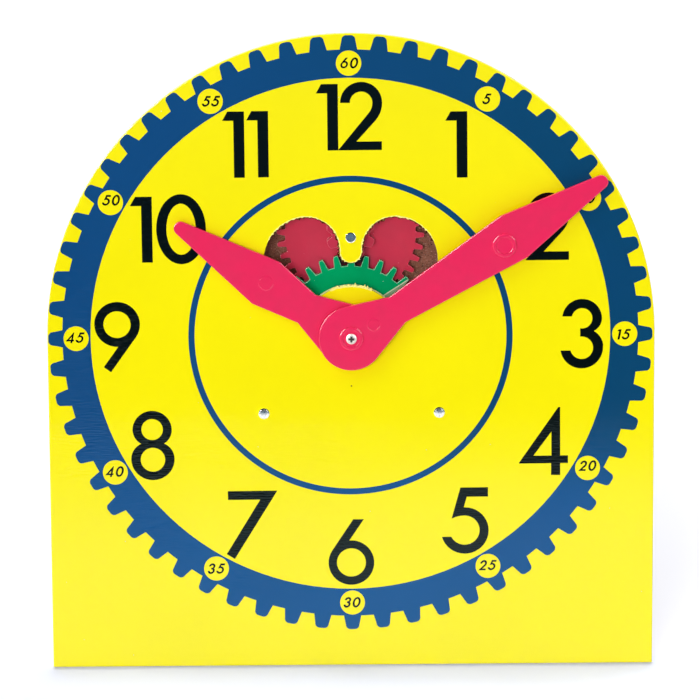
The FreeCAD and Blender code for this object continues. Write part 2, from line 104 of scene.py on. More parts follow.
# ---------------- places
@dataclass(frozen=True)
class DialPlace:
    """The dial's own frame in millimetres: X right, Y into the board, Z up, origin on the hands' axis."""

    pivot: Triple
    inward: Triple

    @property
    def lean(self) -> float:
        """How far the dial leans back, in radians."""
        return math.asin(-self.inward[2])

    @property
    def matrix(self) -> Matrix:
        """Takes dial millimetres to world metres."""
        turn = Matrix.Rotation(-self.lean, 4, "X")
        return Matrix.Translation(self.pivot) @ turn @ Matrix.Scale(MM, 4)


def find_dial() -> DialPlace:
    """Reads the dial's place from the minute joint, which turns about its axis."""
    spin = next(joint for joint in frame["joints"] if joint["name"] == "minute_spin")
    return DialPlace(tuple(spin["pos_m"]), tuple(spin["axis"]))


DIAL = find_dial()


# ---------------- drawing
@dataclass(frozen=True)
class Oval:
    """A full circle or ellipse in an outline, in millimetres."""

    x: float
    z: float
    wide: float
    high: float


def corners_in(parts: list) -> list[Corner]:
    """The corners among what an operator made."""
    return [part for part in parts if isinstance(part, Corner)]


def walls_at(corner: Corner) -> list[Vector]:
    """The normals of the walls, not of the front or back, that meet in a corner."""
    return [face.normal for face in corner.link_faces if abs(face.normal.y) < 0.5]


def thicken(bm: Mesh, thickness: float) -> None:
    """Gives a flat sheet a thickness towards the front.

    Args:
        bm: The sheet.
        thickness: How far its front comes forward, in millimetres.
    """
    raised = bmesh.ops.extrude_face_region(bm, geom=bm.faces)["geom"]
    bmesh.ops.translate(bm, verts=corners_in(raised), vec=(0, -thickness, 0))
    bmesh.ops.recalc_face_normals(bm, faces=bm.faces)


class Pen:
    """Draws outlines on the dial's plane and turns them into plates.

    A path is a tuple of steps. The first is its start. A step of two numbers is a straight run to that
    point, and one of four is a clockwise arc to its first two about its last two. A fifth number of -1
    turns the arc anticlockwise.
    """

    arc_step = 9.0

    def __init__(self) -> None:
        """Starts with nothing drawn."""
        self.bm = bmesh.new()

    def path(self, steps: tuple) -> "Pen":
        """Draws one closed outline.

        Args:
            steps: The start, runs and arcs of the outline.

        Returns:
            The pen.
        """
        start = tip = self.bm.verts.new((steps[0][0], 0, steps[0][1]))
        for step in steps[1:]:
            end = Vector((step[0], 0, step[1]))
            if len(step) == 2:
                tip = bmesh.ops.extrude_vert_indiv(self.bm, verts=[tip])["verts"][0]
            else:
                tip = self.arc(tip, end, Vector((step[2], 0, step[3])), len(step) == 4)
            tip.co = end
        self.bm.edges.new((tip, start))
        return self

    def arc(self, tip: Corner, end: Vector, centre: Vector, clockwise: bool) -> Corner:
        """Spins the last corner about a centre as far as an end point.

        Args:
            tip: Corner the arc starts from.
            end: Point it ends at.
            centre: Its centre.
            clockwise: Whether it turns clockwise as the dial is read.

        Returns:
            The corner at its end.
        """
        first, last = tip.co - centre, end - centre
        turn = math.atan2(last.x, last.z) - math.atan2(first.x, first.z)
        turn %= 2 * math.pi if clockwise else -2 * math.pi
        steps = max(2, round(abs(math.degrees(turn)) / self.arc_step))
        spun = bmesh.ops.spin(
            self.bm, geom=[tip], cent=centre, axis=(0, 1, 0), angle=turn, steps=steps, use_duplicate=False
        )
        return corners_in(spun["geom_last"])[0]

    def oval(self, oval: Oval, segments: int = 48) -> "Pen":
        """Draws a full circle or ellipse.

        Args:
            oval: Its centre and half sizes.
            segments: Number of straight runs it is drawn with.

        Returns:
            The pen.
        """
        place = Matrix.Translation((oval.x, 0, oval.z)) @ Matrix.Diagonal((oval.wide, 1, oval.high, 1))
        bmesh.ops.create_circle(
            self.bm, segments=segments, radius=1, matrix=place @ Matrix.Rotation(math.pi / 2, 4, "X")
        )
        return self

    def draw(self, *outlines: object) -> "Pen":
        """Draws several paths and ovals.

        Args:
            outlines: The ovals, and the steps of each path.

        Returns:
            The pen.
        """
        for outline in outlines:
            self.oval(outline) if isinstance(outline, Oval) else self.path(outline)
        return self

    def plate(self, front: float, back: float) -> Mesh:
        """Fills what is drawn and gives it a thickness.

        Args:
            front: Depth of the front face, in millimetres into the board.
            back: Depth of the back face.

        Returns:
            The closed plate.
        """
        bm = self.bm
        bmesh.ops.remove_doubles(bm, verts=bm.verts, dist=1e-4)
        bmesh.ops.triangle_fill(bm, edges=bm.edges, use_beauty=True, use_dissolve=True, normal=(0, -1, 0))
        bmesh.ops.translate(bm, verts=bm.verts, vec=(0, back, 0))
        thicken(bm, back - front)
        return bm


def add_object(name: str, data: bpy.types.ID) -> bpy.types.Object:
    """Adds an object to the scene.

    Args:
        name: Its name.
        data: Its mesh, lamp or camera.

    Returns:
        The object.
    """
    added = bpy.data.objects.new(name, data)
    bpy.context.scene.collection.objects.link(added)
    return added


def take_in(bm: Mesh, other: Mesh, place: Matrix) -> None:
    """Adds a placed copy of one mesh to another.

    Args:
        bm: Mesh that receives the copy.
        other: Mesh that is copied.
        place: Where the copy goes.
    """
    mesh = bpy.data.meshes.new("copy")
    other.to_mesh(mesh)
    mesh.transform(place)
    bm.from_mesh(mesh)
    bpy.data.meshes.remove(mesh)


def settle(
    bm: Mesh,
    name: str,
    body: Body,
    finish: "Finish",
    smooth_under: float = 32.0,
    stands_for: tuple[str, ...] = (),
) -> bpy.types.Object:
    """Turns a mesh drawn in dial millimetres into a finished piece.

    Args:
        bm: The mesh, which is freed.
        name: Name of the piece.
        body: Body it rides on.
        finish: Its finish.
        smooth_under: Edges that bend less than this many degrees are shaded smooth.
        stands_for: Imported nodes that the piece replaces.

    Returns:
        The piece.
    """
    bmesh.ops.transform(bm, matrix=DIAL.matrix, verts=bm.verts)
    mesh = bpy.data.meshes.new(name)
    bm.to_mesh(mesh)
    bm.free()
    mesh.polygons.foreach_set("use_smooth", [True] * len(mesh.polygons))
    mesh.set_sharp_from_angle(angle=math.radians(smooth_under))
    mesh.materials.append(finish.material())
    piece = add_object(name, mesh)
    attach(piece, body.value)
    if stands_for:
        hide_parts(*stands_for)
    log.info("%s: %d faces on %s", name, len(mesh.polygons), body.value)
    return piece


def dress_nodes(finish: "Finish", *names: str) -> None:
    """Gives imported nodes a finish.

    Args:
        finish: The finish for all their faces.
        names: The nodes.
    """
    for name in names:
        faces = frame["nodes"][name].data
        faces.materials.clear()
        faces.materials.append(finish.material())
        log.info("%s: %s", name, finish.name)


def copy_node(name: str) -> Mesh:
    """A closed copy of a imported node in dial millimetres, with its flat faces whole.

    Args:
        name: The node.

    Returns:
        The copy.
    """
    bm = bmesh.new()
    bm.from_mesh(frame["nodes"][name].data)
    bmesh.ops.transform(bm, matrix=DIAL.matrix.inverted(), verts=bm.verts)
    bmesh.ops.remove_doubles(bm, verts=bm.verts, dist=MERGED)
    bmesh.ops.dissolve_limit(bm, angle_limit=math.radians(1.0), verts=bm.verts, edges=bm.edges)
    return bm


def soften_node(
    name: str,
    piece_name: str,
    body: Body,
    finish: "Finish",
    round_by: float = 0.2,
    highlight_finish: "Finish | None" = None,
) -> None:
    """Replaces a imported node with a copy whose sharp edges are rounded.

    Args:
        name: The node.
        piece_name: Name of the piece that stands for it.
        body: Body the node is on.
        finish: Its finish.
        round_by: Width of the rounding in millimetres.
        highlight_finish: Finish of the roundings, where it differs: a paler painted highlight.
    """
    bm = copy_node(name)
    sharp = [edge for edge in bm.edges if edge.calc_face_angle(0.0) > SHARP]
    bmesh.ops.bevel(
        bm, geom=sharp, offset=round_by, offset_type="OFFSET", segments=2, profile=0.5, affect="EDGES",
        clamp_overlap=True, material=1 if highlight_finish else -1,
    )
    piece = settle(bm, piece_name, body, finish, 40.0, (name,))
    if highlight_finish:
        piece.data.materials.append(highlight_finish.material())
    piece.modifiers.new("even_faces", "WEIGHTED_NORMAL").keep_sharp = True


def lathe(steps: tuple[Point, ...], x: float, z: float, segments: int = 40) -> Mesh:
    """Turns a profile about an axis square to the dial.

    Args:
        steps: Radius and depth of each corner of the closed profile, in millimetres.
        x: Where the axis stands on the dial.
        z: Its height on the dial.
        segments: Number of steps round the axis.

    Returns:
        The closed ring or disc.
    """
    bm = bmesh.new()
    corners = [bm.verts.new((radius, depth, 0)) for radius, depth in steps]
    edges = [bm.edges.new(pair) for pair in zip(corners, corners[1:] + corners[:1])]
    bmesh.ops.spin(
        bm, geom=corners + edges, cent=(0, 0, 0), axis=(0, 1, 0), angle=2 * math.pi, steps=segments,
        use_merge=True, use_duplicate=False,
    )
    bmesh.ops.remove_doubles(bm, verts=bm.verts, dist=1e-4)
    bmesh.ops.recalc_face_normals(bm, faces=bm.faces)
    bmesh.ops.translate(bm, verts=bm.verts, vec=(x, 0, z))
    return bm


def clock_point(radius: float, turn: float) -> Point:
    """The point at a radius and a clockwise turn in radians from 12 o'clock."""
    return radius * math.sin(turn), radius * math.cos(turn)


def quarter_turn() -> list[float]:
    """Angles in radians at which a domed head's profile is drawn, from 0 to a right angle."""
    return [math.radians(step) for step in range(0, 91, 10)]


# ---------------- finishes
def linear(colour: str, shade: float = 1.0) -> Colour:
    """Turns an sRGB hex colour into linear values.

    Args:
        colour: Six hex digits.
        shade: Share of its light that is kept.

    Returns:
        Linear red, green, blue and an alpha of 1.
    """
    parts = [int(colour[at : at + 2], 16) / 255 for at in (0, 2, 4)]
    light = [part / 12.92 if part <= 0.04045 else ((part + 0.055) / 1.055) ** 2.4 for part in parts]
    return (*[part * shade for part in light], 1.0)


class Kind(Enum):
    """Shader nodes by what they do: type, settings, inputs in the order they are given, and output.

    A recipe is a kind followed by what its inputs take: numbers, colours or recipes.
    """

    SUM = "Math", {"operation": "ADD"}, (0, 1), 0
    DIFFERENCE = "Math", {"operation": "SUBTRACT"}, (0, 1), 0
    PRODUCT = "Math", {"operation": "MULTIPLY"}, (0, 1), 0
    QUOTIENT = "Math", {"operation": "DIVIDE"}, (0, 1), 0
    LARGER = "Math", {"operation": "MAXIMUM"}, (0, 1), 0
    ABSOLUTE = "Math", {"operation": "ABSOLUTE"}, (0,), 0
    SINE = "Math", {"operation": "SINE"}, (0,), 0
    STEP = "MapRange", {"interpolation_type": "SMOOTHSTEP"}, (0, 1, 2, 3, 4), 0
    BLEND = "Mix", {"data_type": "RGBA"}, (0, 6, 7), 2
    NOISE = "TexNoise", {}, ("Vector", "Scale", "Detail"), 0
    CELLS = "TexVoronoi", {}, ("Vector", "Scale"), "Distance"
    RELIEF = "Bump", {}, ("Height", "Distance", "Strength"), 0
    PLACED = "Mapping", {"vector_type": "TEXTURE"}, ("Vector", "Location", "Rotation", "Scale"), 0
    POINT = "TexCoord", {}, (), "Object"
    SKY = "TexCoord", {}, (), "Generated"
    X = "SeparateXYZ", {}, (0,), "X"
    Y = "SeparateXYZ", {}, (0,), "Y"
    Z = "SeparateXYZ", {}, (0,), "Z"
    SEEN = "LightPath", {}, (), "Is Camera Ray"
    MIRRORED = "LightPath", {}, (), "Is Glossy Ray"
    PASSED = "LightPath", {}, (), "Is Transmission Ray"


Recipe = tuple[Kind, object]
Recipes = dict[str, Recipe]


@cache
def add_node(tree: Tree, kind: Kind, *values: object) -> Socket:
    """Adds a shader node with its settings and links, and the nodes it takes its values from.

    Args:
        tree: Node tree that receives it.
        kind: What it does.
        values: A number, colour or recipe for each of its inputs in order.

    Returns:
        Its output, which is the same one for the same recipe.
    """
    shader_type, settings, inputs, output = kind.value
    node = tree.nodes.new("ShaderNode" + shader_type)
    for name, setting in settings.items():
        setattr(node, name, setting)
    for key, value in zip(inputs, values):
        if isinstance(value, tuple) and isinstance(value[0], Kind):
            tree.links.new(add_node(tree, *value), node.inputs[key])
        else:
            node.inputs[key].default_value = value
    return node.outputs[output]


def dial_point(*size: float) -> Recipe:
    """Object coordinates in the dial's frame.

    Args:
        size: Length in millimetres of one unit of the result, on all axes or on each.

    Returns:
        Their recipe.
    """
    sizes = size if len(size) == 3 else (size or (1.0,)) * 3
    return Kind.PLACED, (Kind.POINT,), DIAL.pivot, (-DIAL.lean, 0, 0), tuple(MM * part for part in sizes)


def specks(apart: float, size: float) -> Recipe:
    """Scattered round specks: 1 in a speck and 0 elsewhere.

    Args:
        apart: Spacing in millimetres of the cells that hold one speck each.
        size: Largest radius of a speck in millimetres.

    Returns:
        Their recipe.
    """
    return Kind.STEP, (Kind.CELLS, dial_point(apart), 1.0), size / apart, 0.6 * size / apart


def patch(place: Point, half: Point) -> Recipe:
    """A soft oval patch on the dial's plane: 1 in the patch and 0 outside.

    Args:
        place: Its centre in dial millimetres.
        half: Its half width and half height.

    Returns:
        Its recipe.
    """
    off = [
        (Kind.QUOTIENT, (Kind.DIFFERENCE, (kind, dial_point()), middle), reach)
        for kind, middle, reach in zip((Kind.X, Kind.Z), place, half)
    ]
    return Kind.STEP, (Kind.SUM, *[(Kind.PRODUCT, part, part) for part in off]), *PATCH_EDGES


@dataclass(frozen=True)
class Finish:
    """A surface finish. The fields hold what is the same all over it."""

    name: str
    colour: str
    roughness: float = 0.4
    ior: float = 1.5
    metallic: float = 0.0
    gloss_tint: str = "ffffff"
    specular: float = 0.5

    @cache
    def material(self) -> bpy.types.Material:
        """Makes the finish's material, once.

        Returns:
            The material.
        """
        material = bpy.data.materials.new(self.name)
        material.use_nodes = True
        tree = material.node_tree
        shader = tree.nodes["Principled BSDF"]
        shader.inputs["Base Color"].default_value = linear(self.colour)
        shader.inputs["Roughness"].default_value = self.roughness
        shader.inputs["Metallic"].default_value = self.metallic
        shader.inputs["Specular Tint"].default_value = linear(self.gloss_tint)
        shader.inputs["Specular IOR Level"].default_value = self.specular
        if not self.metallic:
            shader.inputs["IOR"].default_value = self.ior
        for name, recipe in self.pattern().items():
            tree.links.new(add_node(tree, *recipe), shader.inputs[name])
        return material

    def pattern(self) -> Recipes:
        """What the shader's inputs take that varies over the surface. A plain finish has none."""
        return {}


@dataclass(frozen=True)
class Coat(Finish):
    """Gloss paint or screen ink on the board. The coater leaves faint level streaks in it.

    The streaks deepen to the left and most in one level band. The colour may change towards the right.
    Towards the bottom it may turn lighter and brighter: a painted sheen.
    """

    right_colour: str = ""
    right_span: Point = (-130.0, 130.0)
    low_colour: str = ""
    low_span: Point = (-45.0, -95.0)
    cloud_size: float = 60.0
    cloud_shade: float = 0.92
    cloud_share: float = 0.25
    dust: str = "e8ecea"
    dust_apart: float = 11.0
    dust_size: float = 0.24
    streak: Triple = (6.5, 6.5, 0.8)
    streak_depth: float = 0.035
    streak_least: float = 0.3
    streak_span: Point = (40.0, -70.0)
    band_place: float = -60.0
    band_half: float = 16.0
    band_gain: float = 2.6

    def coat_height(self) -> Recipe:
        """Height of the coat's streaks in millimetres.

        Returns:
            Its recipe.
        """
        deep, half = self.streak_depth, self.band_half
        depth = Kind.STEP, (Kind.X, dial_point()), *self.streak_span, self.streak_least * deep, deep
        off_band = Kind.ABSOLUTE, (Kind.DIFFERENCE, (Kind.Z, dial_point()), self.band_place)
        gain = Kind.STEP, off_band, 1.4 * half, 0.6 * half, 1.0, self.band_gain
        streaks = Kind.NOISE, dial_point(*self.streak), 1.0, 1.0
        return Kind.PRODUCT, streaks, (Kind.PRODUCT, depth, gain)

    def coat_colour(self) -> Recipe:
        """Colour of the coat, with faint clouds and a little dust.

        Returns:
            Its recipe.
        """
        colour: object = linear(self.colour)
        if self.right_colour:
            share = Kind.STEP, (Kind.X, dial_point()), *self.right_span
            colour = Kind.BLEND, share, colour, linear(self.right_colour)
        # Towards the bottom the colour turns lighter: a painted sheen.
        if self.low_colour:
            share = Kind.STEP, (Kind.Z, dial_point()), *self.low_span
            colour = Kind.BLEND, share, colour, linear(self.low_colour)
        clouds = Kind.NOISE, dial_point(self.cloud_size), 1.0, 0.0
        clouds = Kind.STEP, clouds, 0.35, 0.75, 0.0, self.cloud_share
        colour = Kind.BLEND, clouds, colour, linear(self.colour, self.cloud_shade)
        return Kind.BLEND, specks(self.dust_apart, self.dust_size), colour, linear(self.dust)

    def pattern(self) -> Recipes:
        """Streaks the coat and varies its colour a little."""
        return {"Base Color": self.coat_colour(), "Normal": (Kind.RELIEF, self.coat_height(), MM, 1.0)}


@dataclass(frozen=True)
class PressedBoard(Finish):
    """Hardboard: pressed brown wood fibre, flecked light and dark, with the weave of the press screen.

    The real weave is finer than shows, so it is drawn coarser.
    """

    cloud_size: float = 6.0
    cloud_shade: float = 0.72
    fleck: str = "b8917c"
    fleck_grain: Triple = (1.1, 0.5, 0.5)
    grit: str = "33231b"
    grit_grain: Triple = (0.55, 0.55, 0.9)
    weave: float = 2.6
    weave_depth: float = 0.05

    def fibre_colour(self) -> Recipe:
        """Brown fibre with clouds, pale flecks and dark grit.

        Returns:
            Its recipe.
        """
        colour: object = linear(self.colour)
        for grain, detail, start, end, share, other in (
            ((self.cloud_size,), 4.0, 0.3, 0.7, 1.0, linear(self.colour, self.cloud_shade)),
            (self.fleck_grain, 3.0, 0.56, 0.68, 0.75, linear(self.fleck)),
            (self.grit_grain, 1.0, 0.6, 0.7, 1.0, linear(self.grit)),
        ):
            spots = Kind.STEP, (Kind.NOISE, dial_point(*grain), 1.0, detail), start, end, 0.0, share
            colour = Kind.BLEND, spots, colour, other
        return colour

    def weave_height(self) -> Recipe:
        """Height of the screen's weave in millimetres.

        Returns:
            Its recipe.
        """
        point = dial_point(self.weave / (2 * math.pi))
        waves = Kind.PRODUCT, (Kind.SINE, (Kind.X, point)), (Kind.SINE, (Kind.Z, point))
        return Kind.PRODUCT, waves, self.weave_depth

    def pattern(self) -> Recipes:
        """Flecks the board and presses the weave in it."""
        return {"Base Color": self.fibre_colour(), "Normal": (Kind.RELIEF, self.weave_height(), MM, 1.0)}


@dataclass(frozen=True)
class CoatedBoard(Coat):
    """Hardboard whose face is coated. Its cut walls show pale torn fibre, and its back is bare."""

    bare: PressedBoard | None = None
    wall: str = "fff8a8"
    wall_grit: str = "a98a58"
    wall_roughness: float = 0.65
    coat_depth: float = 0.85
    fray: float = 0.25
    thickness: float = 6.35

    def pattern(self) -> Recipes:
        """Lays the coat, the walls and the bare back one over the other by depth.

        Returns:
            A recipe for each input of the shader.
        """
        depth = Kind.Y, dial_point()
        fray = Kind.STEP, (Kind.NOISE, dial_point(0.7), 1.0, 2.0), 0.3, 0.7, -self.fray, self.fray
        cut = Kind.STEP, (Kind.SUM, depth, fray), self.coat_depth, self.coat_depth + 0.15
        rear = Kind.STEP, depth, self.thickness - 0.35, self.thickness - 0.1
        grit = Kind.STEP, (Kind.NOISE, dial_point(0.8), 1.0, 2.0), 0.58, 0.66, 0.0, 0.8
        wall = Kind.BLEND, grit, linear(self.wall), linear(self.wall_grit)
        colour = Kind.BLEND, cut, self.coat_colour(), wall
        face = Kind.PRODUCT, self.coat_height(), (Kind.STEP, depth, 0.3, 0.1)
        back = Kind.PRODUCT, self.bare.weave_height(), rear
        return {
            "Base Color": (Kind.BLEND, rear, colour, self.bare.fibre_colour()),
            "Roughness": (*cut, self.roughness, self.wall_roughness),
            "Normal": (Kind.RELIEF, (Kind.SUM, face, back), MM, 1.0),
        }


@dataclass(frozen=True)
class Moulded(Finish):
    """Injection-moulded plastic: one even colour, a slight draw ripple and a little dust."""

    dust: str = "f2f4ee"
    dust_apart: float = 6.0
    dust_size: float = 0.3
    cloud_size: float = 9.0
    cloud_shade: float = 0.95
    gloss_range: Point = (0.8, 1.25)
    ripple: float = 0.008

    def pattern(self) -> Recipes:
        """Varies the gloss and scatters dust.

        Returns:
            A recipe for each input of the shader.
        """
        cloud = Kind.NOISE, dial_point(self.cloud_size), 1.0, 2.0
        low, high = (self.roughness * part for part in self.gloss_range)
        share = Kind.STEP, cloud, 0.35, 0.7
        colour = Kind.BLEND, share, linear(self.colour), linear(self.colour, self.cloud_shade)
        return {
            "Base Color": (Kind.BLEND, specks(self.dust_apart, self.dust_size), colour, linear(self.dust)),
            "Roughness": (Kind.STEP, cloud, *MOST_NOISE, low, high),
            "Normal": (Kind.RELIEF, (Kind.PRODUCT, cloud, self.ripple), MM, 1.0),
        }


@dataclass(frozen=True)
class GreasedMoulding(Moulded):
    """Moulded plastic with its front step darkened as painted shade, and a black painted shadow where its
    teeth mesh.
    """

    step_colour: str = "bd2c48"
    step_back: float = 12.0
    step_share: float = 0.8
    grease: str = "140b09"
    grease_place: Point = (0.0, 39.2)
    grease_half: Point = (8.3, 4.6)
    grease_reach: float = 17.4
    axle: Point = (0.0, 53.3)

    def pattern(self) -> Recipes:
        """Darkens what stands in front of the step as painted shade, and lays the painted shadow where the
        teeth mesh.

        Returns:
            A recipe for each input of the shader.
        """
        plain = super().pattern()
        # Darkens what stands in front of the step, the pinion's face: painted shade.
        edge = self.step_back + 0.1, self.step_back - 0.1
        front = Kind.STEP, (Kind.Y, dial_point()), *edge, 0.0, self.step_share
        colour = Kind.BLEND, front, plain["Base Color"], linear(self.step_colour)
        # A black patch near where the teeth mesh: painted shadow of the gap.
        roots = patch(self.axle, (self.grease_reach, self.grease_reach))
        painted_shadow = Kind.PRODUCT, patch(self.grease_place, self.grease_half), roots
        return plain | {"Base Color": (Kind.BLEND, painted_shadow, colour, linear(self.grease))}


@dataclass(frozen=True)
class ScuffedMoulding(Moulded):
    """Moulded plastic with one long grey band of painted shade and reflection, and a paler painted highlight
    along its upper lip.
    """

    scuff: str = "8a9a80"
    scuff_place: Point = (26.3, 24.05)
    scuff_half: Point = (9.6, 2.1)
    scuff_turn: float = -32.9
    lip: str = "cdd6bd"
    lip_edges: Point = (0.68, 0.8)

    def pattern(self) -> Recipes:
        """Paints the grey band of shade and reflection, and its highlight, into the colour.

        Returns:
            A recipe for each input of the shader.
        """
        plain = super().pattern()
        (x, z), (length, width) = self.scuff_place, self.scuff_half
        turn = (0, math.radians(self.scuff_turn), 0)
        point = Kind.PLACED, dial_point(), (x, 0, z), turn, (length, 1, width)
        inside = [(Kind.STEP, (Kind.ABSOLUTE, (kind, point)), 1.05, 0.92) for kind in (Kind.X, Kind.Z)]
        share = Kind.PRODUCT, *inside
        # A grey band on one tooth: painted shade and reflection of the minute hand above it.
        unevenness = Kind.STEP, (Kind.NOISE, dial_point(0.9), 1.0, 2.0), 0.3, 0.6, 0.6, 0.95
        colour = Kind.BLEND, (Kind.PRODUCT, share, unevenness), plain["Base Color"], linear(self.scuff)
        # Its paler upper lip: a painted highlight.
        lip = Kind.PRODUCT, share, (Kind.STEP, (Kind.Z, point), *self.lip_edges)
        return plain | {"Base Color": (Kind.BLEND, lip, colour, linear(self.lip))}


@dataclass(frozen=True)
class Plated(Finish):
    """Plated or bare turned metal: two close tones in small clouds, and fine rubbing in its gloss."""

    deeper: str = "9a9a98"
    grain: float = 1.6
    gloss_range: Point = (0.75, 1.3)
    pit_grain: float = 0.25
    pits: float = 0.004

    def pattern(self) -> Recipes:
        """Clouds the colour, varies the gloss and pits it a little.

        Returns:
            A recipe for each input of the shader.
        """
        cloud = Kind.NOISE, dial_point(self.grain), 1.0, 3.0
        pitting = Kind.NOISE, dial_point(self.pit_grain), 1.0, 1.0
        low, high = (self.roughness * part for part in self.gloss_range)
        share = Kind.STEP, cloud, 0.35, 0.72
        return {
            "Base Color": (Kind.BLEND, share, linear(self.colour), linear(self.deeper)),
            "Roughness": (Kind.STEP, cloud, *MOST_NOISE, low, high),
            "Normal": (Kind.RELIEF, (Kind.PRODUCT, pitting, self.pits), MM, 1.0),
        }


@dataclass(frozen=True)
class StudioFloor(Finish):
    """A matt floor that is lifted where it is seen. In front, the lift cools the yellow the board throws."""

    lift: float = 0.24
    cool: str = "9fb0ff"
    cool_span: Point = (-0.02, -0.05)

    def pattern(self) -> Recipes:
        """Lifts the floor for the camera and for what mirrors it.

        Returns:
            A recipe for each input of the shader.
        """
        before = Kind.PRODUCT, (Kind.STEP, (Kind.Y, (Kind.POINT,)), *self.cool_span), (Kind.SEEN,)
        return {
            "Emission Color": (Kind.BLEND, before, WHITE, linear(self.cool)),
            "Emission Strength": (Kind.PRODUCT, (Kind.LARGER, (Kind.SEEN,), (Kind.MIRRORED,)), self.lift),
        }


# Tempered hardboard: dull, warm brown and mottled, as pressed wood fibre is.
HARDBOARD = PressedBoard("hardboard_brown", "9a6856", 0.6, ior=1.2, fleck="cf9f90")
# Curtain-coated yellow enamel: a mirror gloss over long, level ripples.
ENAMEL = CoatedBoard(
    "gloss_enamel_yellow", "fbee04", 0.05, gloss_tint="cfe6ff", streak_depth=0.01, bare=HARDBOARD
)
# Screen ink under the same gloss: deep blue, darker towards the right, and lighter and brighter towards the
# bottom as a painted sheen.
BLUE_INK = Coat(
    "screen_ink_blue", "11487d", 0.05, gloss_tint="b4dcff", low_colour="10518b", right_colour="0b446b"
)
# The same in black: near black, with a cool tint in what it mirrors.
BLACK_INK = Coat("screen_ink_black", "040a0b", 0.05, gloss_tint="b8d6d4")
# Crystal styrene with pigment: even and bright, with a soft gloss.
PINK = Moulded("styrene_pink", "ea2459", 0.16, dust_apart=15.0)
# The same in red: dustier, its pinion darkened as painted shade, and a black painted shadow in the roots of
# its teeth where they mesh.
RED = GreasedMoulding("styrene_red", "d0324e", 0.2, dust_size=0.25, dust="f08aa0")
# The same in green: a cool shine, and one grey band of painted shade and reflection with a painted highlight
# on its lip.
GREEN = ScuffedMoulding(
    "styrene_green", "009f62", 0.18, gloss_tint="50e8a8", dust_apart=3.4, dust_size=0.25, dust="a6dcc2"
)
# Painted highlight on the rounded corners of the gears: paler than their faces.
RED_EDGE_HIGHLIGHT = Moulded("styrene_red_edge_highlight", "da5068", 0.25)
GREEN_EDGE_HIGHLIGHT = Moulded("styrene_green_edge_highlight", "7fc7a2", 0.25)
# Natural nylon: milky and waxy.
NYLON = Moulded("nylon_natural", "e9e6da", 0.42, dust_apart=12.0)
# Bright nickel on brass rivets: warm and mirror-like, softened by the barrel it was plated in.
NICKEL = Plated("nickel_plate", "f1efe9", 0.14, metallic=1.0, deeper="dedad0")
# The same plate where the setting tool hammered it: dimpled, so what it mirrors breaks up.
HAMMERED_NICKEL = Plated(
    "hammered_nickel", "f4f2ee", 0.26, metallic=1.0, deeper="d3dde6", grain=1.2, pits=0.045
)
# Passivated screw: a whitish bloom takes most of its shine.
SCREW_PLATE = Plated("screw_plate", "eeeae2", 0.42, metallic=0.45, deeper="cfc8bd", grain=0.7)
# Painted shade of its cross recess, with some dirt: dark, dull and uneven.
SCREW_RECESS_SHADE = Plated("screw_recess_shade", "342c25", 0.7, metallic=0.2, deeper="0c0a08", grain=0.5)
# Bright turned steel: grey, with the fine rings of the tool rubbed to a satin.
STEEL = Plated("turned_steel", "b4b4b2", 0.3, metallic=1.0, deeper="8f8f8d")
# Zinc plate with a clear passivate: pale, bluish and slightly cloudy.
ZINC = Plated("zinc_plate", "c8cccf", 0.33, metallic=1.0, deeper="a4aab0", grain=2.5)
# Zinc on drawn wire: smoother and brighter than on the pressed straps.
WIRE = Plated("zinc_wire", "c4c8cb", 0.26, metallic=1.0, deeper="9ba1a6", grain=3.5)
# Torn fibre at cut edges: dark red-brown and matt, with pale ends. Along the window rim its dark strip is
# also painted shade of the walls that face down.
TORN_FIBRE_AND_SHADE = PressedBoard("torn_fibre_and_shade", "54220d", 0.9, ior=1.1, fleck="b98a5e", grit="241008")
# Chipped enamel: its pale undercoat shows along the cut.
TORN_COAT = PressedBoard(
    "chipped_coat", "fff68a", 0.8, ior=1.1, fleck="ffffc8", grit="fff07a", cloud_shade=0.95
)
# Dipped vinyl: black, soft and half matt.
VINYL = Moulded("soft_vinyl", "1c1c1d", 0.5, dust_apart=7.0, ripple=0.06)


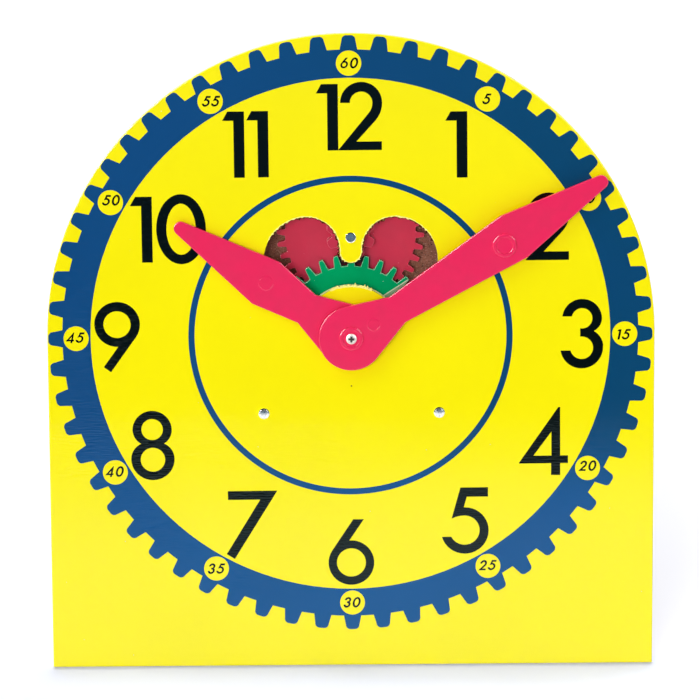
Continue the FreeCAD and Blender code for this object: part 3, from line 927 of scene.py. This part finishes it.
# ---------------- numbers
GLYPHS: dict[str, tuple] = {
    "0": (Oval(13.2, 18.8, 13.2, 18.8), Oval(13.2, 18.8, 7.8, 13.7)),
    "1": (((0, 30.4), (2.8, 35.3), (11.6, 35.3), (11.6, 0), (5.9, 0), (5.9, 30.4)),),
    "2": (
        (
            (1.35, 25.2), (23.55, 25.2, 12.45, 25.2), (19.7, 15.45, 9.25, 25.2), (9.8, 4.6), (23.2, 4.6),
            (23.2, 0), (0, 0), (16.55, 19.9), (18.4, 25.2, 9.85, 25.2, -1), (6.5, 25.2, 12.45, 25.2, -1),
        ),
    ),
    "3": (
        (
            (1.17, 28.2), (22.3, 27.0, 11.7, 27.0), (17.97, 20.2, 14.8, 27.0), (22.9, 11.3, 12.83, 11.3),
            (0.21, 9.7, 11.5, 11.3), (5.56, 9.7), (11.5, 17.2, 11.5, 11.1, -1), (10.7, 17.2), (10.7, 21.7),
            (11.7, 21.6), (6.31, 28.2, 11.7, 27.1, -1),
        ),
    ),
    "4": (
        (
            (21.1, 37.2), (22.1, 37.2), (22.1, 10.7), (26.3, 10.7), (26.3, 6.5), (22.1, 6.5), (22.1, 0),
            (17.2, 0), (17.2, 6.5), (0, 6.5), (0, 6.9),
        ),
        ((17.4, 23.8), (17.4, 10.7), (7.7, 10.7)),
    ),
    "5": (
        (
            (9.2, 36.5), (24, 36.5), (24, 31.4), (12.6, 31.4), (10.9, 25.6), (11.5, 25.6),
            (-0.85, 9.4, 11.5, 12.8), (4.2, 9.4), (11.4, 21.1, 11.4, 13.0, -1), (4.4, 19.4, 11.4, 5.84, -1),
        ),
    ),
    "6": (
        ((13.6, 36.2), (19.3, 36.2), (11.4, 24.56), (2.18, 19.14, 12.4, 12.3)),
        Oval(12.4, 12.4, 7.8, 7.8),
    ),
    "7": (((1.1, 37.4), (27.6, 37.4), (4.3, 0), (0, 2.7), (18.4, 32.6), (1.1, 32.6)),),
    "8": (
        (
            (1.0, 27.4), (22.0, 27.4, 11.5, 27.4), (17.75, 20.0, 13.43, 27.4), (23.25, 11.6, 14.09, 11.6),
            (0.05, 11.6, 11.65, 11.6), (5.45, 20.0, 9.21, 11.6), (1.0, 27.4, 9.57, 27.4),
        ),
        Oval(11.5, 27.7, 5.75, 5.75),
        Oval(11.65, 11.2, 6.55, 6.55),
    ),
    "9": (
        ((8.4, 0), (21.99, 18.78), (12.53, 13.76, 12.15, 25.9, -1), (4.6, 2.8)),
        Oval(12.1, 25.8, 7.25, 7.25),
    ),
}


def embolden(bm: Mesh, by: float) -> None:
    """Moves the outlines of a plate outwards, and those of its holes inwards.

    Args:
        bm: The plate.
        by: How far, in millimetres.
    """
    shifts = []
    for vert in bm.verts:
        walls = walls_at(vert)
        middle = sum(walls, Vector()).normalized()
        shifts.append(middle * by / max(0.5, middle.dot(walls[0])))
    for vert, shift in zip(bm.verts, shifts):
        vert.co += shift


@dataclass(frozen=True)
class PrintedDial:
    """The screen-printed face: a toothed minute ring, a thin circle and two sets of numbers.

    Each ink's place is its turn in radians and its shift across and up. The shifts of the small numbers
    start at 5 minutes.
    """

    film_front: float = -0.04
    film_back: float = 0.02
    ring_inner: float = 138.5
    ring_valley: float = 153.5
    ring_tip: float = 161.0
    tooth_root_half: float = 4.675
    tooth_shoulder_half: float = 3.65
    tooth_corner: float = 2.5
    disc_radius: float = 6.7
    disc_centre: float = 146.2
    minutes: int = 60
    minutes_per_number: int = 5
    line_inner: float = 83.1
    line_outer: float = 86.4
    small_scale: float = 0.148
    small_shifts: tuple[Point, ...] = (
        (0.05, 0.16), (0.2, 0.3), (-0.62, -0.38), (0.18, 1.24), (-0.35, 0.56), (-0.35, 0.43),
        (-0.35, 0.43), (-0.22, 1.11), (-0.35, 1.24), (0.85, 1.92), (0.85, 0.56), (0.98, 0.43),
    )
    small_bolder: float = 0.95
    small_slant: float = 0.21
    small_gap: float = 1.15
    black_place: Triple = (-0.0045, -0.40, -0.21)
    blue_place: Triple = (-0.0019, -0.34, 0.05)
    hour_places: tuple[tuple[str, float, float], ...] = (
        ("1", -17.0, 100.2), ("2", -5.6, 100.2), ("1", 51.2, 85.0), ("2", 93.3, 40.2), ("3", 111.8, -18.6),
        ("4", 89.7, -76.8), ("5", 49.0, -119.6), ("6", -13.1, -136.1), ("7", -67.7, -121.0),
        ("8", -118.1, -77.0), ("9", -136.3, -17.8), ("1", -116.1, 41.3), ("0", -102.4, 40.2),
        ("1", -66.6, 86.2), ("1", -53.9, 86.3),
    )

    def build(self) -> None:
        """Builds every printed piece and lays it on the board."""
        layers = {
            "printed_minute_ring": (self.minute_ring(), BLUE_INK),
            "printed_circle": (self.circle(), BLUE_INK),
            "printed_hour_numbers": (self.hour_numbers(), BLACK_INK),
            "printed_minute_numbers": (self.minute_numbers(), BLACK_INK),
        }
        for name, (bm, ink) in layers.items():
            turn, across, up = self.blue_place if ink is BLUE_INK else self.black_place
            place = Matrix.Translation((across, 0, up)) @ Matrix.Rotation(turn, 4, "Y")
            bmesh.ops.transform(bm, matrix=place, verts=bm.verts)
            settle(bm, name, Body.FRAME, ink)

    def film(self, *outlines: object) -> Mesh:
        """Prints outlines as a thin film on the face."""
        return Pen().draw(*outlines).plate(self.film_front, self.film_back)

    def minute_sector(self, numbered: bool) -> Mesh:
        """One minute of the ring, with its tooth and, at a number, its round opening.

        Args:
            numbered: Whether a number stands in it.

        Returns:
            The sector that reaches half a minute to each side of 12 o'clock.
        """
        half, root = math.pi / self.minutes, math.asin(self.tooth_root_half / self.ring_valley)
        inner, valley = self.ring_inner, self.ring_valley
        shoulder, shoulder_at = self.tooth_shoulder_half, self.ring_tip - self.tooth_corner
        flat = shoulder - self.tooth_corner
        outline = (
            clock_point(inner, -half),
            clock_point(valley, -half),
            (*clock_point(valley, -root), 0, 0),
            (-shoulder, shoulder_at),
            (-flat, self.ring_tip, -flat, shoulder_at),
            (flat, self.ring_tip),
            (shoulder, shoulder_at, flat, shoulder_at),
            clock_point(valley, root),
            (*clock_point(valley, half), 0, 0),
            clock_point(inner, half),
            (*clock_point(inner, -half), 0, 0, -1),
        )
        opening = Oval(0, self.disc_centre, self.disc_radius, self.disc_radius)
        return self.film(outline, opening) if numbered else self.film(outline)

    def minute_ring(self) -> Mesh:
        """Turns the toothed ring up minute by minute from its sectors.

        Returns:
            The ring.
        """
        ring = bmesh.new()
        sectors = {numbered: self.minute_sector(numbered) for numbered in (False, True)}
        for minute in range(self.minutes):
            turn = Matrix.Rotation(2 * math.pi * minute / self.minutes, 4, "Y")
            take_in(ring, sectors[minute % self.minutes_per_number == 0], turn)
        for sector in sectors.values():
            sector.free()
        return ring

    def circle(self) -> Mesh:
        """Draws the thin circle inside the hour numbers.

        Returns:
            The circle.
        """
        pen = Pen()
        for radius in (self.line_inner, self.line_outer):
            pen.oval(Oval(0, 0, radius, radius), 180)
        return pen.plate(self.film_front, self.film_back)

    def hour_numbers(self) -> Mesh:
        """Prints the hour numbers, each digit in its own place.

        Returns:
            All the digits.
        """
        numbers = bmesh.new()
        for digit, x, z in self.hour_places:
            glyph = self.film(*GLYPHS[digit])
            take_in(numbers, glyph, Matrix.Translation((x, 0, z)))
            glyph.free()
        return numbers

    def minute_numbers(self) -> Mesh:
        """Prints the small slanted numbers in the ring's round openings.

        Returns:
            All the numbers.
        """
        numbers = bmesh.new()
        scale = self.small_scale
        shrink = Matrix.Diagonal((scale, 1, scale, 1))
        slant = Matrix(((1, 0, self.small_slant, 0), (0, 1, 0, 0), (0, 0, 1, 0), (0, 0, 0, 1)))
        for step, (aside, up) in enumerate(self.small_shifts, 1):
            minute = step * self.minutes_per_number
            x, z = clock_point(self.disc_centre, 2 * math.pi * minute / self.minutes)
            digits = [self.film(*GLYPHS[digit]) for digit in str(minute)]
            for glyph in digits:
                embolden(glyph, self.small_bolder)
            widths = [max(vert.co.x for vert in glyph.verts) for glyph in digits]
            at = -(sum(widths) * scale + self.small_gap * (len(digits) - 1)) / 2
            for glyph, width in zip(digits, widths):
                middle = max(vert.co.z for vert in glyph.verts) * scale / 2
                place = Matrix.Translation((x + aside + at, 0, z + up)) @ slant
                take_in(numbers, glyph, place @ Matrix.Translation((0, 0, -middle)) @ shrink)
                at += width * scale + self.small_gap
                glyph.free()
        return numbers


# ---------------- sub-assemblies
@dataclass(frozen=True)
class RimStrip:
    """A ragged strip along the window's front edge.

    Its reaches into the window and over the face are in millimetres from the edge. On ledges, where the
    wall faces up by more than a given share, it may reach further.
    """

    name: str
    finish: Finish
    depth: float
    inside: Point
    outside: Point
    on_ledges: Point | None = None
    thickness: float = 0.06
    ledge: float = 0.35
    window_half: float = 45.0
    window_span: Point = (24.0, 75.0)

    def build(self, rim_piece: float, seed: int) -> None:
        """Makes the strip from the board's own window edge.

        Args:
            rim_piece: Longest run between two ragged corners.
            seed: Seed of the raggedness.
        """
        chance = random.Random(seed)
        bm = copy_node("dial_board")
        bm.normal_update()
        facing = bm.verts.layers.float_vector.new("facing")
        rim = {edge for edge in bm.edges if self.is_rim(edge)}
        for vert in {vert for edge in rim for vert in edge.verts}:
            vert[facing] = sum(walls_at(vert), Vector()).normalized()
        # A strip that has no ledges leaves out what faces up. The dark fibre strip is painted shade of the
        # walls that face down, so it leaves out the lit walls that face up.
        rim = {edge for edge in rim if self.on_ledges or sum(vert[facing].z for vert in edge.verts) < 1.2}
        bmesh.ops.delete(bm, geom=[edge for edge in bm.edges if edge not in rim], context="EDGES")
        for edge in [edge for edge in bm.edges if edge.calc_length() > rim_piece]:
            bmesh.ops.subdivide_edges(bm, edges=[edge], cuts=int(edge.calc_length() / rim_piece))
        outer = set(corners_in(bmesh.ops.extrude_edge_only(bm, edges=list(bm.edges))["geom"]))
        for vert in bm.verts:
            way = vert[facing].normalized()
            low, high = self.on_ledges if self.on_ledges and way.z > self.ledge else self.inside
            reach = low + (high - low) * chance.random() ** 3
            vert.co += way * (-chance.uniform(*self.outside) if vert in outer else reach)
            vert.co.y = self.depth
        thicken(bm, self.thickness)
        settle(bm, self.name, Body.FRAME, self.finish)

    def is_rim(self, edge: bmesh.types.BMEdge) -> bool:
        """Tells whether an edge of the board is part of the window's front edge.

        Args:
            edge: The edge.

        Returns:
            Whether it is.
        """
        on_front = all(abs(vert.co.y) < 0.02 for vert in edge.verts)
        low, high = self.window_span
        inside = all(abs(vert.co.x) < self.window_half and low < vert.co.z < high for vert in edge.verts)
        return on_front and inside and edge.calc_face_angle(0.0) > 1.0


@dataclass(frozen=True)
class Board:
    """The coated board, its frayed window rim, its bush, and the plate behind the gears."""

    rim_piece: float = 0.9
    rim_seed: int = 11
    prick: Triple = (0.0, -27.0, 0.42)
    prick_depths: Point = (0.02, -0.03)
    plate_round: float = 0.25
    strips: tuple[RimStrip, ...] = (
        RimStrip("window_coat_lip", TORN_COAT, 0.02, (-0.1, 0.6), (0.2, 0.6), on_ledges=(0.3, 2.6)),
        # Dark torn fibre inside the window's edge, darkened as painted shade of the walls that face down.
        RimStrip("window_rim_fibres_and_shade", TORN_FIBRE_AND_SHADE, 0.3, (0.3, 1.6), (0.05, 0.05)),
    )

    def build(self) -> None:
        """Dresses the board and builds what the eye finds on it."""
        dress_nodes(ENAMEL, "dial_board")
        dress_nodes(NYLON, "dial_bush", "rear_bush")
        soften_node("back_plate", "gear_cover_plate", Body.FRAME, HARDBOARD, self.plate_round)
        for strip in self.strips:
            strip.build(self.rim_piece, self.rim_seed)
        x, z, radius = self.prick
        back, front = self.prick_depths
        prick = lathe(((0, back), (0, front), (radius, front), (radius, back)), x, z, 12)
        settle(prick, "drill_centre", Body.FRAME, TORN_FIBRE_AND_SHADE)


@dataclass(frozen=True)
class GearTrain:
    """The green hour gear, the red compound gear and the red pinion."""

    edge_round: float = 0.3

    def build(self) -> None:
        """Rounds the edges of the moulded gears, and gives their roundings a paler painted highlight."""
        # The last column is the paler painted highlight of each gear's roundings.
        for node, piece_name, body, slot, finish, edge in (
            ("hour_gear", "green_hour_gear", Body.HOUR, Slot.GREEN, GREEN, GREEN_EDGE_HIGHLIGHT),
            ("idler_gear", "red_compound_gear", Body.IDLER, Slot.RED, RED, RED_EDGE_HIGHLIGHT),
            ("minute_pinion", "red_minute_pinion", Body.MINUTE, Slot.RED, RED, RED_EDGE_HIGHLIGHT),
        ):
            soften_node(node, piece_name, body, finish, self.edge_round, edge)


@dataclass(frozen=True)
class HandPair:
    """The two pink hands, the marks their moulds left, and the screw that holds them.

    Angles are clockwise from 12, a mark has its distance from the axis and its radius, and the screw's
    shank has its radius and length.
    """

    minute_angle: float = 57.9
    hour_angle: float = 303.35
    minute_front: float = -7.2
    hour_front: float = -3.8
    minute_mark: Point = (14.0, 2.9)
    hour_mark: Point = (54.0, 3.4)
    mark_steps: tuple[Point, ...] = ((0.0, 0.04), (0.12, -0.14), (0.75, 0.0), (0.75, 0.04))
    head_radius: float = 2.86
    head_seat: float = -7.7
    head_top: float = -9.3
    head_brim: float = 0.5
    recess_reach: float = 1.65
    recess_half: float = 0.55
    shank: Point = (1.4, 8.0)

    def build(self) -> None:
        """Dresses the hands and adds their marks and screw."""
        dress_nodes(PINK, "minute_hand", "hour_hand")
        dress_nodes(NYLON, "hand_washer")
        for name, body, front, angle, (out, radius) in (
            ("minute_hand_mould_mark", Body.MINUTE, self.minute_front, self.minute_angle, self.minute_mark),
            ("hour_hand_mould_mark", Body.HOUR, self.hour_front, self.hour_angle, self.hour_mark),
        ):
            mark = self.mould_mark(radius, front, *clock_point(out, math.radians(angle)))
            settle(mark, name, body, PINK, 20.0)
        for mesh, name, finish, stands_for in (
            (self.screw_head(), "cross_head_screw", SCREW_PLATE, ("hand_screw",)),
            (self.recess(), "screw_recess_shade", SCREW_RECESS_SHADE, ()),
        ):
            settle(mesh, name, Body.MINUTE, finish, 35.0, stands_for)

    def mould_mark(self, radius: float, front: float, x: float, z: float) -> Mesh:
        """Turns a low ring as an ejector pin leaves it: steep inside and feathered outside.

        Args:
            radius: Its inner radius.
            front: Depth of the face it stands on.
            x: Where it stands on the dial.
            z: Its height on the dial.

        Returns:
            The ring.
        """
        return lathe(tuple((radius + out, front + deep) for out, deep in self.mark_steps), x, z)

    def screw_head(self) -> Mesh:
        """Turns the screw's domed head and shank. Its recess is a piece of its own.

        Returns:
            The screw.
        """
        radius, seat, top = self.head_radius, self.head_seat, self.head_top
        thick, length = self.shank
        brim, end = seat - self.head_brim, seat + length
        dome = [(radius * math.cos(turn), brim - (brim - top) * math.sin(turn)) for turn in quarter_turn()]
        return lathe(((0, end), (thick, end), (thick, seat), (radius - 0.1, seat), *dome), 0, 0, 48)

    def recess(self) -> Mesh:
        """Draws the worn cross recess as a dark inlay just proud of the dome: painted shade where the hollow
        would be.
        """
        reach, half = self.recess_reach, self.recess_half
        # Each arm is worn a little short or wide in its own way.
        cross = (
            (-half, reach), (half, reach * 0.93), (half * 1.2, half), (reach, half), (reach * 0.9, -half),
            (half, -half * 1.1), (half * 0.8, -reach), (-half, -reach * 0.95), (-half * 1.1, -half),
            (-reach * 0.95, -half * 0.8), (-reach, half), (-half, half * 1.2),
        )
        return Pen().draw(cross).plate(self.head_top - 0.02, self.head_top + 0.9)


@dataclass(frozen=True)
class Fastenings:
    """Rivets, post, washers, tubes and shafts."""

    post_height: float = 53.3
    rivet_places: tuple[Point, ...] = ((-46.9, -41.7), (46.9, -41.7))
    head_half: float = 2.93
    head_height: float = 1.03
    head_sunk: float = 0.3
    face_tilt: float = 2.6
    face_steps: tuple[Point, ...] = (
        (0, 0.3), (0, -1.03), (2.3, -1.03), (2.5, -1.01), (2.78, -0.85), (2.94, -0.4), (2.94, 0.3),
    )

    def build(self) -> None:
        """Dresses each of them as the metal it is, and shapes the heads as their setting tool left them."""
        half, height, sunk = self.head_half, self.head_height, self.head_sunk
        dome = [(half * math.sin(turn), -height * math.cos(turn)) for turn in quarter_turn()]
        head = lathe(((0, sunk), *dome, (half, sunk)), 0, 0)
        heads = bmesh.new()
        for x, z in self.rivet_places:
            take_in(heads, head, Matrix.Translation((x, 0, z)))
        head.free()
        settle(heads, "rivet_head_faces", Body.FRAME, HAMMERED_NICKEL)
        face = lathe(self.face_steps, 0, 0)
        place = Matrix.Translation((0, 0, self.post_height))
        place @= Matrix.Rotation(math.radians(-self.face_tilt), 4, "X")
        bmesh.ops.transform(face, matrix=place, verts=face.verts)
        settle(face, "post_head_face", Body.FRAME, NICKEL)
        dress_nodes(NICKEL, "dial_rivets", "idler_post")
        dress_nodes(STEEL, "plate_spacers", "rivet_washers", "spring_washer")
        dress_nodes(STEEL, "hour_sleeve", "minute_arbor", "arbor_clip")


@dataclass(frozen=True)
class Stand:
    """The folding wire leg, its soft feet and the straps it turns in."""

    strap_round: float = 0.12

    def build(self) -> None:
        """Dresses the leg and rounds the straps."""
        for finish, name in ((WIRE, "stand_leg"), (VINYL, "leg_feet"), (ZINC, "clip_screws")):
            dress_nodes(finish, name)
        for side in ("left", "right"):
            node, piece_name = f"stand_clip_{side}", f"leg_strap_{side}"
            soften_node(node, piece_name, Body.FRAME, ZINC, self.strap_round)


# ---------------- studio
@dataclass(frozen=True)
class SunLamp:
    """A distant soft lamp, placed by where its light comes from."""

    name: str
    azimuth: float
    elevation: float
    strength: float
    spread: float
    lights: bool = True
    glints: bool = True

    def build(self) -> None:
        """Hangs the lamp. Azimuth 0 is in front of the dial and grows to its right."""
        lamp = bpy.data.lights.new(self.name, "SUN")
        lamp.energy = self.strength
        lamp.angle = math.radians(self.spread)
        holder = add_object(self.name, lamp)
        a, e = math.radians(self.azimuth), math.radians(self.elevation)
        source = Vector((math.sin(a) * math.cos(e), -math.cos(a) * math.cos(e), math.sin(e)))
        holder.rotation_euler = source.to_track_quat("Z", "Y").to_euler()
        holder.visible_diffuse = self.lights
        holder.visible_glossy = self.glints


@dataclass(frozen=True)
class Studio:
    """Pale floor, soft lamps, white surround and the camera."""

    camera_tilt: float = 0.1892
    camera_yaw: float = 0.0096
    camera_roll: float = 0.0055
    camera_side: float = 0.64
    camera_rise: float = 7.31
    camera_distance: float = 2197.5
    camera_lens: float = 212.07
    floor_half: float = 4.0
    floor: Finish = StudioFloor("studio_floor", "e7e9f0", 1.0, specular=0.0)
    ambient: float = 0.25
    room: Colour = (0.03, 0.07, 0.075, 1)
    room_bands: tuple[tuple[float, float, Colour], ...] = (
        (0.02, 0.12, (0.115, 0.21, 0.32, 1)), (0.15, 0.5, (0.012, 0.014, 0.018, 1)),
    )
    room_horizon: Point = (-0.0122, -0.0035)
    room_side: Point = (0.25, -0.2)
    lamps: tuple[SunLamp, ...] = (
        SunLamp("key_lamp", -14.0, 17.0, 1.43, 22.0, glints=False),
        SunLamp("side_lamp", -50.0, 50.0, 0.72, 40.0, glints=False),
        SunLamp("window_glint", -85.0, 32.0, 13.0, 50.0, lights=False),
        SunLamp("door_glint", 75.0, 36.0, 3.5, 44.0, lights=False),
        SunLamp("top_lamp", 180.0, 76.0, 1.55, 8.0, glints=False),
        SunLamp("back_lamp", 150.0, 35.0, 0.64, 50.0, glints=False),
    )

    def build(self) -> None:
        """Sets up the view, the floor and the light."""
        self.set_view()
        self.place_camera()
        self.lay_floor()
        self.light_world()
        for lamp in self.lamps:
            lamp.build()
        log.info("studio: %d lamps", len(self.lamps))

    def set_view(self) -> None:
        """Shows colours as they are written."""
        bpy.context.scene.view_settings.view_transform = "Standard"

    def place_camera(self) -> None:
        """Stands the camera in front of the dial and a little above it."""
        turn = (
            Matrix.Rotation(self.camera_roll, 4, "Z")
            @ Matrix.Rotation(self.camera_tilt, 4, "X")
            @ Matrix.Rotation(self.camera_yaw, 4, "Y")
        )
        stand_off = Matrix.Translation((-self.camera_side, -self.camera_rise, self.camera_distance))
        place = DIAL.matrix @ Matrix.Rotation(math.pi / 2, 4, "X") @ turn.transposed() @ stand_off
        lens = bpy.data.cameras.new("camera")
        lens.lens = self.camera_lens
        lens.clip_end = 50.0
        camera = add_object("camera", lens)
        camera.matrix_world = Matrix.LocRotScale(place.to_translation(), place.to_quaternion(), None)
        bpy.context.scene.camera = camera

    def lay_floor(self) -> None:
        """Lays a pale floor that keeps the clock's shadow."""
        bm = bmesh.new()
        bmesh.ops.create_grid(bm, x_segments=1, y_segments=1, size=self.floor_half)
        mesh = bpy.data.meshes.new("floor")
        bm.to_mesh(mesh)
        bm.free()
        mesh.materials.append(self.floor.material())
        add_object("floor", mesh)

    def light_world(self) -> None:
        """Surrounds the scene with white. A gloss face mirrors a dark room above the horizon in front."""
        world = bpy.data.worlds.new("studio_world")
        bpy.context.scene.world = world
        world.use_nodes = True
        tree = world.node_tree
        up, back = (Kind.Z, (Kind.SKY,)), (Kind.Y, (Kind.SKY,))
        room: object = self.room
        for start, end, shade in self.room_bands:
            room = Kind.BLEND, (Kind.STEP, up, start, end), room, shade
        share = Kind.PRODUCT, (Kind.STEP, up, *self.room_horizon), (Kind.STEP, back, *self.room_side)
        plain = (self.ambient, self.ambient, self.ambient, 1)
        lit = Kind.BLEND, (Kind.MIRRORED,), plain, (Kind.BLEND, share, WHITE, room)
        light = Kind.BLEND, (Kind.LARGER, (Kind.SEEN,), (Kind.PASSED,)), lit, WHITE
        tree.links.new(add_node(tree, *light), tree.nodes["Background"].inputs["Color"])


def main() -> None:
    """Builds and dresses the clock, then sets up the studio."""
    logging.basicConfig(level=logging.INFO, format="%(message)s")
    for part in (Board(), PrintedDial(), GearTrain(), HandPair(), Fastenings(), Stand(), Studio()):
        log.info("building %s", type(part).__name__)
        part.build()


if __name__ == "__main__":
    main()
